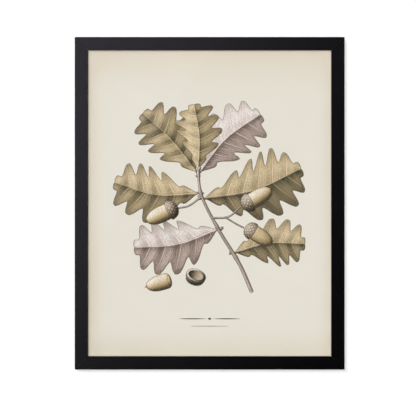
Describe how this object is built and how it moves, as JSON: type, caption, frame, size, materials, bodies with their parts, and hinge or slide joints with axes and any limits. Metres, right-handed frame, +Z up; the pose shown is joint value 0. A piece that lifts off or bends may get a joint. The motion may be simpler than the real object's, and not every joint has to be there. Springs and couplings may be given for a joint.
{
  "type": "framed botanical print",
  "caption": "Upright framed botanical print: thin satin black wood frame, glass, paper print, backing board on turn buttons and a sawtooth wall hanger.",
  "frame": {"origin": "where the wall's nail carries the sawtooth hanger, in the plane of the wall: the middle of the frame's width, just below its top edge", "axes": "+X across the frame, to the right seen from the front; +Y out of the back, into the wall; +Z up; the print faces -Y"},
  "size_m": [0.4366, 0.0203, 0.5383],
  "materials": {
    "frame_paint": "satin black paint on wood, bare at the back",
    "clear_glass": "clear, polished",
    "print_paper": "matt cream paper with a tan and grey botanical design",
    "filler_board": "plain corrugated board",
    "backing_board": "brown hardboard, smooth side out",
    "zinc": "bright zinc plate",
    "brass_plate": "satin brass plate on pressed steel",
    "bumper_rubber": "soft black rubber"
  },
  "bodies": {
    "frame": {"rail_top": "frame_paint", "rail_bottom": "frame_paint", "rail_left": "frame_paint", "rail_right": "frame_paint", "glazing": "clear_glass", "print": "print_paper", "filler_board": "filler_board", "backing_board": "backing_board", "hanger": "zinc", "hanger_nail_left": "zinc", "hanger_nail_right": "zinc", "bumper_left": "bumper_rubber", "bumper_right": "bumper_rubber", "v_nail_bottom_left": "zinc", "v_nail_top_left": "zinc", "v_nail_top_right": "zinc", "v_nail_bottom_right": "zinc", "screw_left_upper": "zinc", "screw_right_upper": "zinc", "screw_left_lower": "zinc", "screw_right_lower": "zinc", "screw_top_left": "zinc", "screw_bottom_left": "zinc", "screw_top_right": "zinc", "screw_bottom_right": "zinc"},
    "button_left_upper": {"turn_button_left_upper": "brass_plate"},
    "button_right_upper": {"turn_button_right_upper": "brass_plate"},
    "button_left_lower": {"turn_button_left_lower": "brass_plate"},
    "button_right_lower": {"turn_button_right_lower": "brass_plate"},
    "button_top_left": {"turn_button_top_left": "brass_plate"},
    "button_bottom_left": {"turn_button_bottom_left": "brass_plate"},
    "button_top_right": {"turn_button_top_right": "brass_plate"},
    "button_bottom_right": {"turn_button_bottom_right": "brass_plate"}
  },
  "joints": [
    {"name": "swivel_left_upper", "type": "hinge", "parent": "frame", "child": "button_left_upper", "pos_m": [-0.21138, -0.003, -0.13148], "axis": [0, 1, 0], "continuous": true},
    {"name": "swivel_right_upper", "type": "hinge", "parent": "frame", "child": "button_right_upper", "pos_m": [0.21138, -0.003, -0.13148], "axis": [0, 1, 0], "continuous": true},
    {"name": "swivel_left_lower", "type": "hinge", "parent": "frame", "child": "button_left_lower", "pos_m": [-0.21138, -0.003, -0.38748], "axis": [0, 1, 0], "continuous": true},
    {"name": "swivel_right_lower", "type": "hinge", "parent": "frame", "child": "button_right_lower", "pos_m": [0.21138, -0.003, -0.38748], "axis": [0, 1, 0], "continuous": true},
    {"name": "swivel_top_left", "type": "hinge", "parent": "frame", "child": "button_top_left", "pos_m": [-0.104, -0.003, 0.0027], "axis": [0, 1, 0], "continuous": true},
    {"name": "swivel_bottom_left", "type": "hinge", "parent": "frame", "child": "button_bottom_left", "pos_m": [-0.104, -0.003, -0.52165], "axis": [0, 1, 0], "continuous": true},
    {"name": "swivel_top_right", "type": "hinge", "parent": "frame", "child": "button_top_right", "pos_m": [0.104, -0.003, 0.0027], "axis": [0, 1, 0], "continuous": true},
    {"name": "swivel_bottom_right", "type": "hinge", "parent": "frame", "child": "button_bottom_right", "pos_m": [0.104, -0.003, -0.52165], "axis": [0, 1, 0], "continuous": true}
  ]
}
